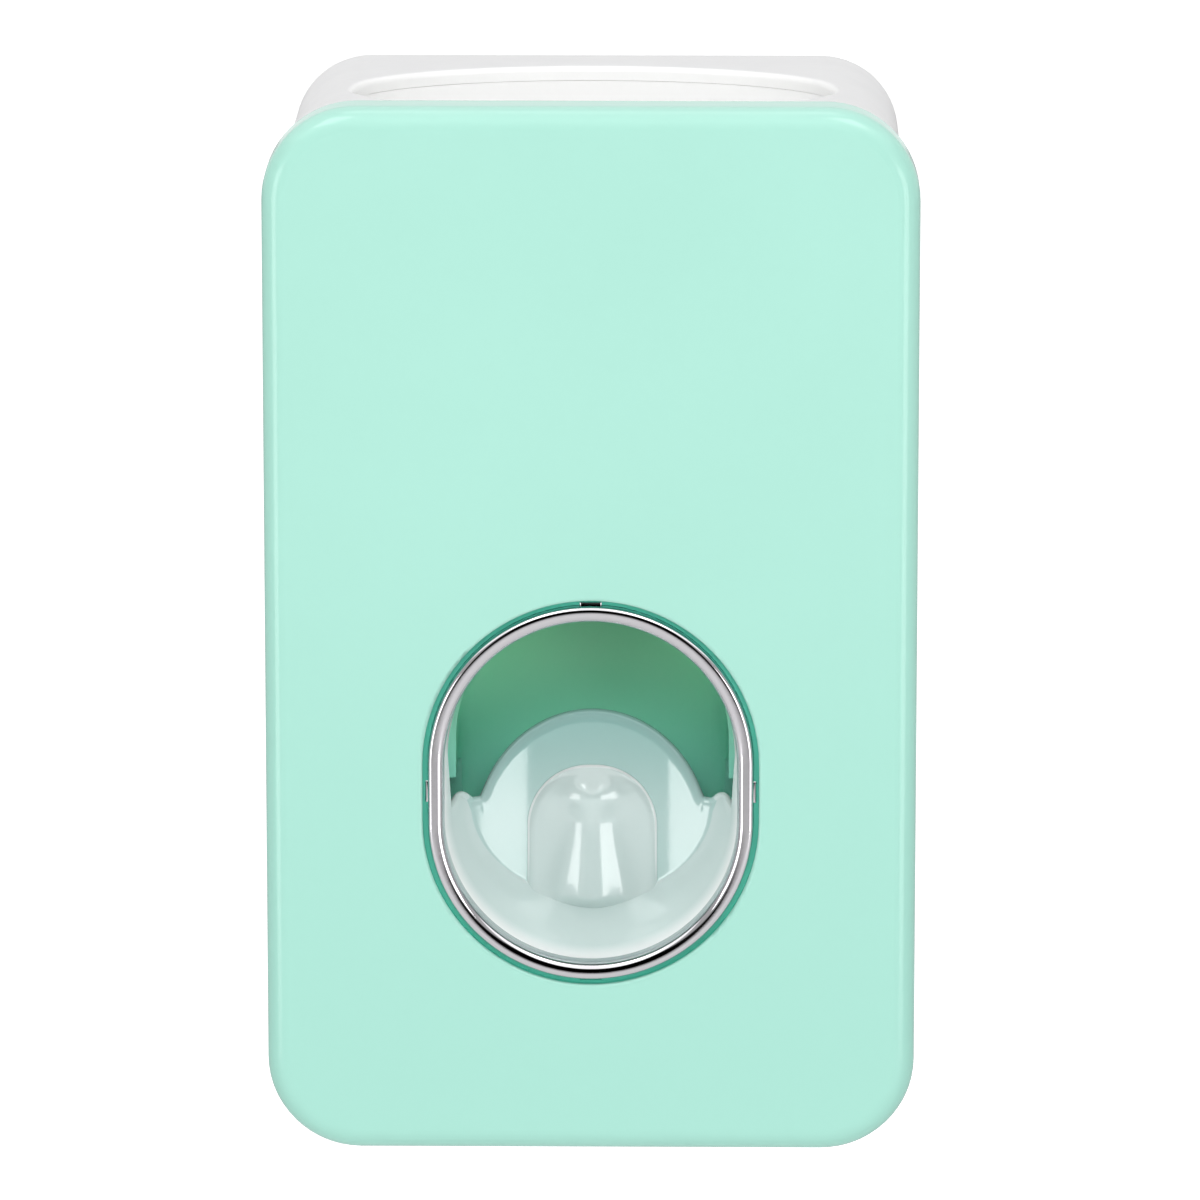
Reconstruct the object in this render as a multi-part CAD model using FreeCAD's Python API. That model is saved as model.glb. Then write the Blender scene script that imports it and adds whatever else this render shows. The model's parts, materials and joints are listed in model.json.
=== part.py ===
import FreeCAD, Part
import math
import os
from FreeCAD import Vector

# Wall-mounted toothpaste dispenser, in millimetres.
# X is to the right, +Y runs back to the wall, Z is up, and y = 0 is the wall.
# Depths are counted back from the front face of the cover.
overall_depth = 63.0

# Front cover
cover_width = 90.0
cover_height = 147.0
cover_corner_radius = 13.0
cover_edge_radius = 3.0
cover_depth = 7.5
cover_plate = 2.4
cover_skirt = 1.8
hole_lip_radius = 0.5
peg_radius = 2.0
peg_end_depth = 15.0
peg_x = 36.0
peg_low_z = -62.0
peg_high_z = 38.0
stud_radius = 1.0
stud_head_radius = 1.6
stud_head_height = 0.8
stud_reach = 24.2
stud_head_rounding = 0.5
peg_collar = 1.4
peg_chamfer = 0.6
peg_collar_gap = 0.3
peg_fit = 0.08
skirt_inner_rounding = 1.0

# Oval opening and trim ring
oval_z = -22.2
oval_straight = 8.0
ring_outer_radius = 22.5
ring_bead_width = 2.25
ring_crown = 0.3
ring_outer_rounding = 0.8
ring_inner_rounding = 1.4
ring_ledge_depth = 1.5
ring_seat_fit = 0.05
ring_flange_radius = 25.6
ring_flange_thickness = 0.8
ring_gap = 0.75
ring_tab_width = 3.2
ring_tab_height = 0.5
ring_tab_front = 0.9
ring_tab_root = 0.5
ring_hole_fit = 0.1

# Rear body
body_wall = 2.0
body_front_depth = 2.8
pad_proud = 1.0
body_back_rounding = 2.0
cover_body_clearance = 0.2
post_radius = 4.0
post_front_depth = 8.0
post_hole_depth = 12.0
standoff_radius = 4.0
standoff_height = 9.5
inner_rounding = 1.5
pad_fit = 0.3
pad_width = 56.0
pad_height = 96.0
pad_thickness = 1.6
pad_corner_radius = 6.0

# Tube funnel
mouth_half_width = 33.5
mouth_half_depth = 19.0
mouth_rim_rounding = 0.8
funnel_wall = 1.6
funnel_flange_margin = 3.0
waist_half_width = 26.5
waist_half_depth = 17.6
waist_z = 54.0
throat_radius = 11.6
throat_z = 42.0
collar_height = 6.0
funnel_fit = 0.05

# Chassis plate
chassis_width = 62.0
chassis_low_z = -53.0
chassis_high_z = 31.0
chassis_thickness = 2.5
chassis_corner_radius = 7.0
chassis_screw_x = 24.0
chassis_screw_low_z = -46.0
chassis_screw_high_z = 25.0
window_width = 30.0
window_low_z = -47.0
window_high_z = -25.0
window_rounding = 4.0
rod_skin = 0.5

# Push cup
cup_front_depth = 3.6
cup_band_length = 3.0
cup_band_radius = 22.2
cup_mouth_radius = 20.4
cup_throat_radius = 19.7
cup_wall = 1.6
cup_rim_z = -24.4
bowl_back_radius = 15.0
bowl_back_z = -26.6
bowl_back_depth = 17.0
back_curve_radius = 32.0
back_middle_depth = 16.8
back_thickness = 1.8
arch_radius = 16.2
arch_top_z = -13.9
tongue_half_width = 9.0
tongue_top_z = -21.5
tongue_front_depth = 15.2
tongue_foot_z = -44.0
tongue_rounding = 0.6
ridge_radius = 7.0
ridge_front_depth = 12.6
ridge_top_z = -23.2
ear_radius = 5.6
ear_length = 8.0
ear_setback = 0.4
ear_rib = 2.0
ear_arm_height = 9.0
stroke = 9.0

# Brush hood
hood_radius = 19.1
hood_wall = 1.6
hood_front_depth = 16.2
hood_back_depth = 29.2
hood_rim_z = -23.8
hood_back_low_z = -36.0
hood_leg_radius = 3.6
hood_leg_x = 13.0
hood_leg_z = -8.0
spout_notch_width = 10.0
spout_notch_length = 8.0
hood_rounding = 2.5
hood_sill = 1.0
screw_tip_gap = 0.8

# Guide rods, clips, bushes and springs
rod_radius = 2.0
rod_x = 28.5
rod_front_depth = 3.0
rod_boss_radius = 4.6
rod_boss_height = 6.0
rod_press = 0.03
rod_fit = 0.06
bush_radius = 3.2
bush_flange_radius = 4.4
bush_flange = 0.8
clip_radius = 4.0
clip_thickness = 0.7
clip_groove = 0.4
clip_mouth = 2.6
clip_gap = 0.1
clip_fit = 0.05
rod_chamfer = 0.3
spring_gap = 0.1
spring_radius = 3.3
spring_wire = 0.4
spring_turns = 10

# Pump
pump_z = 13.0
bore_radius = 6.0
barrel_radius = 8.5
barrel_front_depth = 24.5
barrel_end_wall = 3.0
barrel_boss_radius = 3.4
barrel_boss_length = 8.0
barrel_flange_half_width = 17.0
barrel_flange_half_height = 7.0
barrel_flange_thickness = 2.4
barrel_screw_x = 13.0
deck_half_width = 9.5
deck_z = 22.0
port_radius = 2.0
cap_front_depth = 22.6
cap_spigot = 2.0
cap_rounding = 0.8
cap_fit = 0.05
piston_rod_radius = 4.0
piston_bore_radius = 2.4
piston_head_depth = 27.0
piston_head_length = 4.5
piston_clearance = 0.06
seal_section = 0.75
seal_groove_width = 1.9
seal_fit = 0.02
valve_radius = 4.4
valve_thickness = 1.0
valve_fit = 0.1
valve_slit = 0.3
valve_hinge = 3.0
tower_radius = 10.5
tower_base_height = 7.0
tower_top_z = 39.0
tower_screw_x = 6.6
tower_screw_inset = 2.3
tower_screw_seat = 2.0
tower_screw_bite = 3.0
tower_pilot = 3.4
tower_corner_radius = 2.0
tower_gap = 0.4
tower_roof = 1.4
tower_channel_half_width = 2.6
tower_channel_height = 3.2
tube_seal_radius = 8.5
tube_neck_radius = 6.0
tube_seal_length = 10.0
tube_seal_ledge = 1.4
tube_hole_radius = 4.0
seal_seat_fit = 0.05
collar_fit = 0.1

# Spout yoke
yoke_half_width = 8.0
yoke_front_depth = 6.6
yoke_back_depth = 12.3
yoke_low_z = 5.2
yoke_high_z = 20.0
yoke_rounding = 2.0
yoke_skin = 0.7
yoke_screw_end_gap = 0.5
rod_socket = 2.7
tab_front_depth = 4.2
spout_depth = 10.0
spout_radius = 2.6
spout_bore = 1.7
spout_end_z = 2.6
spout_tip_z = 0.7
duckbill_radius = 3.2
duckbill_tip_radius = 1.9
duckbill_floor = 0.8
duckbill_gap = 0.1
duckbill_slit = 0.4

# Screws
screw_radius = 1.25
screw_head_radius = 2.4
screw_head_height = 1.6
screw_clearance = 0.15
screw_pilot = 0.05
screw_length = 8.0
yoke_screw_radius = 0.9
yoke_screw_head_radius = 1.6
yoke_screw_head_height = 0.9
yoke_screw_rounding = 0.4
screw_head_rounding = 0.6
screw_slot_width = 0.5
screw_slot_length = 3.0
yoke_screw_x = 5.4
yoke_screw_z = 17.2

# Sizes that follow from the ones above
hole_radius = ring_outer_radius + ring_gap
ring_inner_radius = ring_outer_radius - ring_bead_width
skirt_width = cover_width - 2.0 * cover_skirt
skirt_height = cover_height - 2.0 * cover_skirt
skirt_corner_radius = cover_corner_radius - cover_skirt
body_width = skirt_width - 2.0 * cover_body_clearance
body_height = skirt_height - 2.0 * cover_body_clearance
body_corner_radius = skirt_corner_radius - cover_body_clearance
body_top_z = 0.5 * body_height
under_top_z = body_top_z - body_wall
body_back_depth = overall_depth - pad_proud
mouth_depth = 0.5 * body_back_depth
back_wall_depth = body_back_depth - body_wall
chassis_back_depth = back_wall_depth - standoff_height
chassis_depth = chassis_back_depth - chassis_thickness
rod_boss_depth = chassis_depth - rod_boss_height
barrel_bore_end_depth = chassis_depth - barrel_end_wall
port_depth = barrel_bore_end_depth - port_radius
rod_end_depth = chassis_back_depth - rod_skin
tower_screw_depth = barrel_front_depth + tower_screw_inset
rod_socket_depth = yoke_back_depth - rod_socket
yoke_screw_end_depth = yoke_back_depth - yoke_skin - yoke_screw_end_gap
ear_front_depth = cup_front_depth + ear_setback
ear_back_depth = ear_front_depth + ear_length
reach = 2.0 * cover_height
upper_z = oval_z + 0.5 * oval_straight
lower_z = oval_z - 0.5 * oval_straight


def at(depth):
    return depth - overall_depth


def box(x0, x1, depth0, depth1, z0, z1):
    corner = Vector(x0, at(depth0), z0)
    return Part.makeBox(x1 - x0, depth1 - depth0, z1 - z0, corner)


def bar_back(radius, x, z, depth0, depth1):
    # Round bar that runs straight back.
    return Part.makeCylinder(radius, depth1 - depth0, Vector(x, at(depth0), z), Vector(0, 1, 0))


def bar_up(radius, x, depth, z0, z1):
    # Round bar that runs straight up.
    return Part.makeCylinder(radius, z1 - z0, Vector(x, at(depth), z0), Vector(0, 0, 1))


def fuse(first, others):
    return first.fuse(others).removeSplitter()


def cut_all(first, others):
    return first.cut(others)


def front_wire(points_and_arcs, depth):
    # Closed outline in a plane that faces the front. Three points make an arc, two a line.
    edges = []
    for points in points_and_arcs:
        corners = [Vector(x, at(depth), z) for x, z in points]
        if len(corners) == 3:
            edges.append(Part.Arc(corners[0], corners[1], corners[2]).toShape())
        else:
            edges.append(Part.LineSegment(corners[0], corners[1]).toShape())
    return Part.Wire(edges)


def rounded_outline(width, height, radius, depth, middle_z=0.0):
    half_w = 0.5 * width
    half_h = 0.5 * height
    inset = radius * (1.0 - math.sqrt(0.5))
    top = middle_z + half_h
    low = middle_z - half_h
    return front_wire([
        [(-half_w + radius, top), (half_w - radius, top)],
        [(half_w - radius, top), (half_w - inset, top - inset), (half_w, top - radius)],
        [(half_w, top - radius), (half_w, low + radius)],
        [(half_w, low + radius), (half_w - inset, low + inset), (half_w - radius, low)],
        [(half_w - radius, low), (-half_w + radius, low)],
        [(-half_w + radius, low), (-half_w + inset, low + inset), (-half_w, low + radius)],
        [(-half_w, low + radius), (-half_w, top - radius)],
        [(-half_w, top - radius), (-half_w + inset, top - inset), (-half_w + radius, top)],
    ], depth)


def oval_outline(radius, depth):
    return front_wire([
        [(-radius, upper_z), (0.0, upper_z + radius), (radius, upper_z)],
        [(radius, upper_z), (radius, lower_z)],
        [(radius, lower_z), (0.0, lower_z - radius), (-radius, lower_z)],
        [(-radius, lower_z), (-radius, upper_z)],
    ], depth)


def extrude_back(wire, length):
    return Part.Face(wire).extrude(Vector(0, length, 0))


def oval_block(radius, depth0, depth1):
    return extrude_back(oval_outline(radius, depth0), depth1 - depth0)


def rounded_block(width, height, radius, depth0, depth1, middle_z=0.0):
    return extrude_back(rounded_outline(width, height, radius, depth0, middle_z), depth1 - depth0)


def edges_at_depth(solid, depth):
    return [e for e in solid.Edges if abs(e.BoundBox.YMin - at(depth)) < 0.001 and e.BoundBox.YLength < 0.001]


def edges_at_height(solid, z):
    return [e for e in solid.Edges if abs(e.BoundBox.ZMin - z) < 0.001 and e.BoundBox.ZLength < 0.001]


def pan_screw(x, z, head_depth, length, toward_front):
    # Self-tapping screw along the depth. Its head sits on the plane at head_depth.
    sign = -1.0 if toward_front else 1.0
    end = head_depth + sign * length
    shank = bar_back(screw_radius, x, z, min(head_depth, end), max(head_depth, end))
    outer = head_depth - sign * screw_head_height
    head = bar_back(screw_head_radius, x, z, min(head_depth, outer), max(head_depth, outer))
    head = head.makeFillet(screw_head_rounding, edges_at_depth(head, outer))
    slot = 0.5 * screw_head_height
    inner = outer + sign * slot
    wide = 0.5 * screw_slot_length
    thin = 0.5 * screw_slot_width
    for half_w, half_h in ((wide, thin), (thin, wide)):
        blade = box(x - half_w, x + half_w, min(outer, inner), max(outer, inner), z - half_h, z + half_h)
        head = head.cut(blade)
    return fuse(shank, [head])


def save(name, shape):
    shape.exportStep("parts/" + name + ".step")
    print(name, len(shape.Solids), "solids", "valid" if shape.isValid() else "broken", round(shape.Volume, 1))


def mirrored_pair(solid):
    return [solid, solid.mirror(Vector(0, 0, 0), Vector(1, 0, 0))]


def stud_places():
    side = stud_reach * math.sqrt(0.5)
    return [(sx * side, z) for sx in (-1, 1) for z in (upper_z + side, lower_z - side)]


def peg_places():
    return [(sx * peg_x, z) for sx in (-1, 1) for z in (peg_low_z, peg_high_z)]


def chassis_screw_places():
    heights = (chassis_screw_low_z, chassis_screw_high_z)
    return [(sx * chassis_screw_x, z) for sx in (-1, 1) for z in heights]


def make_front_cover():
    shell = rounded_block(cover_width, cover_height, cover_corner_radius, 0.0, cover_depth)
    shell = shell.makeFillet(cover_edge_radius, edges_at_depth(shell, 0.0))
    inside = rounded_block(skirt_width, skirt_height, skirt_corner_radius, cover_plate, reach)
    inside = inside.makeFillet(skirt_inner_rounding, edges_at_depth(inside, cover_plate))
    shell = shell.cut(inside)
    shell = shell.cut(oval_block(hole_radius, -reach, ring_ledge_depth))
    shell = shell.cut(oval_block(ring_outer_radius + ring_seat_fit, -reach, reach))
    lip = [e for e in edges_at_depth(shell, 0.0) if abs(e.CenterOfMass.x) < hole_radius]
    lip = [e for e in lip if abs(e.CenterOfMass.z - oval_z) < hole_radius + oval_straight]
    shell = shell.makeFillet(hole_lip_radius, lip)
    added = []
    for x, z in peg_places():
        peg = bar_back(peg_radius, x, z, cover_plate, peg_end_depth)
        peg = peg.makeChamfer(peg_chamfer, edges_at_depth(peg, peg_end_depth))
        added.append(peg)
        collar_end = post_front_depth - peg_collar_gap
        added.append(bar_back(peg_radius + peg_collar, x, z, cover_plate, collar_end))
    for x, z in stud_places():
        flange_back = cover_plate + ring_flange_thickness
        added.append(bar_back(stud_radius, x, z, cover_plate, flange_back))
        head = bar_back(stud_head_radius, x, z, flange_back, flange_back + stud_head_height)
        head_end = flange_back + stud_head_height
        added.append(head.makeFillet(stud_head_rounding, edges_at_depth(head, head_end)))
    return fuse(shell, added)


def make_chrome_ring():
    bead = oval_block(ring_outer_radius, -ring_crown, cover_plate + 0.5 * ring_flange_thickness)
    bead = bead.makeFillet(ring_outer_rounding, edges_at_depth(bead, -ring_crown))
    bead = bead.cut(oval_block(ring_inner_radius, -reach, reach))
    crown = edges_at_depth(bead, -ring_crown)
    inner_edges = [e for e in crown if max(-e.BoundBox.XMin, e.BoundBox.XMax) < ring_inner_radius + 0.001]
    bead = bead.makeFillet(ring_inner_rounding, inner_edges)
    flange = oval_block(ring_flange_radius, cover_plate, cover_plate + ring_flange_thickness)
    flange = flange.cut(oval_block(ring_inner_radius, 0.0, reach))
    holes = [bar_back(stud_radius + ring_hole_fit, x, z, 0.0, reach) for x, z in stud_places()]
    flange = cut_all(flange, holes)
    half = 0.5 * ring_tab_width
    outer = ring_outer_radius + ring_tab_height
    inner = ring_outer_radius - ring_tab_root
    tabs = [
        box(-half, half, ring_tab_front, ring_ledge_depth, upper_z + inner, upper_z + outer),
        box(-half, half, ring_tab_front, ring_ledge_depth, lower_z - outer, lower_z - inner),
        box(inner, outer, ring_tab_front, ring_ledge_depth, oval_z - half, oval_z + half),
        box(-outer, -inner, ring_tab_front, ring_ledge_depth, oval_z - half, oval_z + half),
    ]
    return fuse(bead, [flange] + tabs)


def on_mouth_rim(edge):
    middle = edge.valueAt(0.5 * (edge.FirstParameter + edge.LastParameter))
    across = middle.x / mouth_half_width
    along = (middle.y - at(mouth_depth)) / mouth_half_depth
    level = edge.BoundBox.ZLength < 0.5
    return level and middle.z > body_top_z - 0.5 and abs(across ** 2 + along ** 2 - 1.0) < 0.001


def make_rear_body():
    shell = rounded_block(body_width, body_height, body_corner_radius, body_front_depth, body_back_depth)
    shell = shell.makeFillet(body_back_rounding, edges_at_depth(shell, body_back_depth))
    inside_radius = body_corner_radius - body_wall
    inside = rounded_block(
        body_width - 2.0 * body_wall,
        body_height - 2.0 * body_wall,
        inside_radius,
        0.0,
        back_wall_depth,
    )
    inside = inside.makeFillet(inner_rounding, edges_at_depth(inside, back_wall_depth))
    shell = shell.cut(inside)
    mouth = Part.Ellipse(Vector(0, at(mouth_depth), 0), mouth_half_width, mouth_half_depth).toShape()
    mouth.translate(Vector(0, 0, waist_z))
    shell = shell.cut(Part.Face(Part.Wire(mouth)).extrude(Vector(0, 0, body_height)))
    shell = shell.makeFillet(mouth_rim_rounding, [e for e in shell.Edges if on_mouth_rim(e)])
    added = []
    removed = []
    for x, z in peg_places():
        added.append(bar_back(post_radius, x, z, post_front_depth, back_wall_depth + 0.5 * body_wall))
        removed.append(bar_back(peg_radius + peg_fit, x, z, 0.0, post_front_depth + post_hole_depth))
    for x, z in chassis_screw_places():
        added.append(bar_back(standoff_radius, x, z, chassis_back_depth, back_wall_depth + 0.5 * body_wall))
        pilot_end = chassis_back_depth + 0.9 * standoff_height
        removed.append(bar_back(screw_radius + screw_pilot, x, z, 0.0, pilot_end))
    shell = fuse(shell, added)
    recess = pad_thickness - (overall_depth - body_back_depth)
    removed.append(rounded_block(
        pad_width + 2.0 * pad_fit,
        pad_height + 2.0 * pad_fit,
        pad_corner_radius + pad_fit,
        body_back_depth - recess,
        overall_depth,
    ))
    return cut_all(shell, removed)


def make_adhesive_pad():
    pad_depth = overall_depth - pad_thickness
    return rounded_block(pad_width, pad_height, pad_corner_radius, pad_depth, overall_depth)


def level_ellipse(half_width, half_depth, z):
    edge = Part.Ellipse(Vector(0, at(mouth_depth), 0), half_width, half_depth).toShape()
    edge.translate(Vector(0, 0, z))
    return Part.Wire(edge)


def funnel_form(margin):
    wires = [
        level_ellipse(mouth_half_width + margin, mouth_half_depth + margin, under_top_z),
        level_ellipse(waist_half_width + margin, waist_half_depth + margin, waist_z),
        level_ellipse(1.02 * throat_radius + margin, throat_radius + margin, throat_z),
    ]
    return Part.makeLoft(wires, True, False)


def make_tube_funnel():
    outside = funnel_form(funnel_wall)
    flange_w = mouth_half_width + funnel_flange_margin
    flange_d = mouth_half_depth + 0.6 * funnel_flange_margin
    flange = Part.Face(level_ellipse(flange_w, flange_d, under_top_z - funnel_wall))
    flange = flange.extrude(Vector(0, 0, funnel_wall))
    collar_radius = throat_radius + 1.4 * funnel_wall
    collar = bar_up(collar_radius, 0, mouth_depth, throat_z - collar_height, throat_z + 0.5 * funnel_wall)
    shell = fuse(outside, [flange, collar])
    room = rounded_block(
        body_width - 2.0 * body_wall - 2.0 * funnel_fit,
        body_height - 2.0 * body_wall - 2.0 * funnel_fit,
        body_corner_radius - body_wall - funnel_fit,
        body_front_depth,
        back_wall_depth,
    )
    shell = shell.common(room)
    inside = funnel_form(0.0)
    bore = bar_up(tower_radius + collar_fit, 0, mouth_depth, 0.0, throat_z + 0.5 * funnel_wall)
    return cut_all(shell, [inside, bore])


def make_chassis_plate():
    height = chassis_high_z - chassis_low_z
    middle = 0.5 * (chassis_high_z + chassis_low_z)
    plate = rounded_block(
        chassis_width, height, chassis_corner_radius, chassis_depth, chassis_back_depth, middle)
    bosses = [
        bar_back(rod_boss_radius, sx * rod_x, oval_z, rod_boss_depth, chassis_back_depth) for sx in (-1, 1)
    ]
    plate = fuse(plate, bosses)
    holes = [bar_back(rod_radius + rod_press, sx * rod_x, oval_z, 0.0, rod_end_depth) for sx in (-1, 1)]
    fixing = chassis_screw_places()
    fixing += [(sx * hood_leg_x, hood_leg_z) for sx in (-1, 1)]
    fixing += [(sx * barrel_screw_x, pump_z) for sx in (-1, 1)]
    for x, z in fixing:
        holes.append(bar_back(screw_radius + screw_clearance, x, z, 0.0, overall_depth))
    window_middle = 0.5 * (window_low_z + window_high_z)
    window = window_high_z - window_low_z
    holes.append(rounded_block(window_width, window, window_rounding, 0.0, overall_depth, window_middle))
    return cut_all(plate, holes)


def lower_outline(radius, middle_z, depth):
    # Lower half of a round, closed off level at the rim of the cup.
    return front_wire([
        [(-radius, cup_rim_z), (-radius, middle_z)],
        [(-radius, middle_z), (0.0, middle_z - radius), (radius, middle_z)],
        [(radius, middle_z), (radius, cup_rim_z)],
        [(radius, cup_rim_z), (-radius, cup_rim_z)],
    ], depth)


def bowl_form(margin, depth0, depth1):
    # Lower half of the cup as a tapered block, widest at the band.
    band_back = cup_front_depth + cup_band_length
    run = bowl_back_depth - band_back

    def section(depth):
        share = (depth - band_back) / run
        radius = cup_throat_radius + share * (bowl_back_radius - cup_throat_radius)
        middle = lower_z + share * (bowl_back_z - lower_z)
        return lower_outline(radius + margin, middle, depth)

    return Part.makeLoft([section(depth0), section(depth1)], True, True)


def back_form():
    # Upright curved wall behind the tongue, arched at the top.
    axis_depth = back_middle_depth - back_curve_radius
    outer = bar_up(back_curve_radius + back_thickness, 0, axis_depth, -reach, 0.0)
    wall = outer.cut(bar_up(back_curve_radius, 0, axis_depth, -reach, reach))
    arch = bar_back(arch_radius, 0, arch_top_z - arch_radius, cup_front_depth, reach)
    lower = bowl_form(0.6 * cup_wall, cup_front_depth + cup_band_length, back_middle_depth + back_thickness)
    upper = box(-arch_radius, arch_radius, cup_front_depth, reach, cup_rim_z, 0.0)
    return wall.common(arch.common(upper)).fuse(wall.common(lower)).removeSplitter()


def tongue_form():
    round_z = tongue_top_z - tongue_half_width
    pad_end = back_middle_depth + 0.3 * back_thickness
    pad = bar_back(tongue_half_width, 0, round_z, tongue_front_depth, pad_end)
    foot = box(-tongue_half_width, tongue_half_width, tongue_front_depth, pad_end, tongue_foot_z, round_z)
    pad = fuse(pad, [foot])
    pad = pad.makeFillet(tongue_rounding, edges_at_depth(pad, tongue_front_depth))
    axis_depth = ridge_front_depth + ridge_radius
    dome_z = ridge_top_z - ridge_radius
    ridge = bar_up(ridge_radius, 0, axis_depth, tongue_foot_z, dome_z)
    dome = Part.makeSphere(ridge_radius, Vector(0, at(axis_depth), dome_z))
    ridge = fuse(ridge, [dome])
    return fuse(pad, [ridge.common(box(-reach, reach, 0.0, pad_end, tongue_foot_z, ridge_top_z + 1.0))])


def make_push_cup():
    band_back = cup_front_depth + cup_band_length
    band = oval_block(cup_band_radius, cup_front_depth, band_back)
    taper = Part.makeLoft(
        [oval_outline(cup_mouth_radius, cup_front_depth), oval_outline(cup_throat_radius, band_back)],
        True,
        True,
    )
    band = band.cut(taper)
    end = back_middle_depth + back_thickness
    bowl = bowl_form(cup_wall, band_back - 1.0, end)
    bowl = bowl.cut(bowl_form(0.0, band_back - 2.0, end + 1.0))
    bowl = bowl.cut(box(-reach, reach, 0.0, reach, cup_rim_z, reach))
    axis_depth = back_middle_depth - back_curve_radius
    behind = box(-reach, reach, 0.0, reach, -reach, 0.0).cut(
        bar_up(back_curve_radius + back_thickness, 0, axis_depth, -2.0 * reach, reach))
    bowl = bowl.cut(behind)
    tongue = tongue_form().common(bowl_form(0.5 * cup_wall, band_back, end))
    tongue = tongue.cut(behind)
    ears = []
    for sx in (-1, 1):
        ears.append(bar_back(ear_radius, sx * rod_x, oval_z, ear_front_depth, ear_back_depth))
        root = 0.5 * (cup_mouth_radius + cup_band_radius)
        x0 = min(sx * root, sx * rod_x)
        x1 = max(sx * root, sx * rod_x)
        half = 0.5 * ear_arm_height
        ears.append(box(x0, x1, ear_front_depth, band_back, oval_z - half, oval_z + half))
        rib = 0.5 * ear_rib
        ears.append(box(x0, x1, ear_front_depth, ear_back_depth, oval_z - rib, oval_z + rib))
    lug_low = upper_z + 0.5 * (cup_mouth_radius + cup_band_radius)
    lug = box(-yoke_half_width, yoke_half_width, tab_front_depth, yoke_front_depth, lug_low, yoke_high_z)
    upright = [e for e in edges_at_height(lug, yoke_high_z) if e.BoundBox.XLength < 0.001]
    lug = lug.makeFillet(yoke_rounding, upright)
    cup = fuse(band, [bowl, back_form(), tongue] + ears + [lug])
    holes = []
    for sx in (-1, 1):
        holes.append(bar_back(bush_radius + rod_press, sx * rod_x, oval_z, 0.0, overall_depth))
        screw_hole = yoke_screw_radius + screw_clearance
        holes.append(bar_back(screw_hole, sx * yoke_screw_x, yoke_screw_z, 0.0, overall_depth))
    return cut_all(cup, holes)


def make_guide_bushes():
    body = bar_back(bush_radius, rod_x, oval_z, ear_front_depth, ear_back_depth)
    flange = bar_back(bush_flange_radius, rod_x, oval_z, ear_back_depth, ear_back_depth + bush_flange)
    bush = fuse(body, [flange])
    bush = bush.cut(bar_back(rod_radius + rod_fit, rod_x, oval_z, 0.0, overall_depth))
    return Part.makeCompound(mirrored_pair(bush))


def make_brush_hood():
    outer_radius = hood_radius + hood_wall
    outside = oval_block(outer_radius, hood_front_depth, hood_back_depth + hood_wall)
    inside = oval_block(hood_radius, 0.0, hood_back_depth)
    inside = inside.makeFillet(hood_rounding, edges_at_depth(inside, hood_back_depth))
    hood = outside.cut(inside)
    low = box(-reach, reach, 0.0, hood_back_depth - hood_sill, -reach, hood_rim_z)
    lowest = box(-reach, reach, 0.0, reach, -reach, hood_back_low_z)
    notch_end = hood_front_depth + spout_notch_length
    notch = box(-0.5 * spout_notch_width, 0.5 * spout_notch_width, 0.0, notch_end, oval_z, reach)
    hood = cut_all(hood, [low, lowest, notch])
    leg_start = hood_back_depth + 0.5 * hood_wall
    legs = [
        bar_back(hood_leg_radius, sx * hood_leg_x, hood_leg_z, leg_start, chassis_depth)
        for sx in (-1, 1)
    ]
    hood = fuse(hood, legs)
    pilot_radius = screw_radius + screw_pilot
    pilot_start = chassis_back_depth - screw_length - screw_tip_gap
    pilots = [
        bar_back(pilot_radius, sx * hood_leg_x, hood_leg_z, pilot_start, reach)
        for sx in (-1, 1)
    ]
    return cut_all(hood, pilots)


def make_pump_barrel():
    barrel = bar_back(barrel_radius, 0, pump_z, barrel_front_depth, chassis_depth)
    flange = box(
        -barrel_flange_half_width,
        barrel_flange_half_width,
        chassis_depth - barrel_flange_thickness,
        chassis_depth,
        pump_z - barrel_flange_half_height,
        pump_z + barrel_flange_half_height,
    )
    boss_depth = chassis_depth - barrel_boss_length
    bosses = [
        bar_back(barrel_boss_radius, sx * barrel_screw_x, pump_z, boss_depth, chassis_depth)
        for sx in (-1, 1)
    ]
    deck = box(-deck_half_width, deck_half_width, barrel_front_depth, chassis_depth, pump_z, deck_z)
    barrel = fuse(barrel, [flange, deck] + bosses)
    holes = [
        bar_back(bore_radius, 0, pump_z, 0.0, barrel_bore_end_depth),
        bar_up(port_radius, 0, port_depth, pump_z, reach),
        bar_up(valve_radius + valve_fit, 0, port_depth, deck_z - valve_thickness, reach),
    ]
    screw_hole = screw_radius + screw_pilot
    tower_hole = yoke_screw_radius + screw_pilot
    pilot_start = chassis_depth - 0.9 * barrel_boss_length
    for sx in (-1, 1):
        holes.append(bar_back(screw_hole, sx * barrel_screw_x, pump_z, pilot_start, reach))
        holes.append(bar_up(tower_hole, sx * tower_screw_x, tower_screw_depth, deck_z - tower_pilot, reach))
    return cut_all(barrel, holes)


def make_barrel_cap():
    cap = bar_back(barrel_radius, 0, pump_z, cap_front_depth, barrel_front_depth)
    cap = cap.makeFillet(cap_rounding, edges_at_depth(cap, cap_front_depth))
    spigot = bar_back(bore_radius - cap_fit, 0, pump_z, barrel_front_depth, barrel_front_depth + cap_spigot)
    cap = fuse(cap, [spigot])
    return cap.cut(bar_back(piston_rod_radius + rod_fit, 0, pump_z, 0.0, overall_depth))


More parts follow.
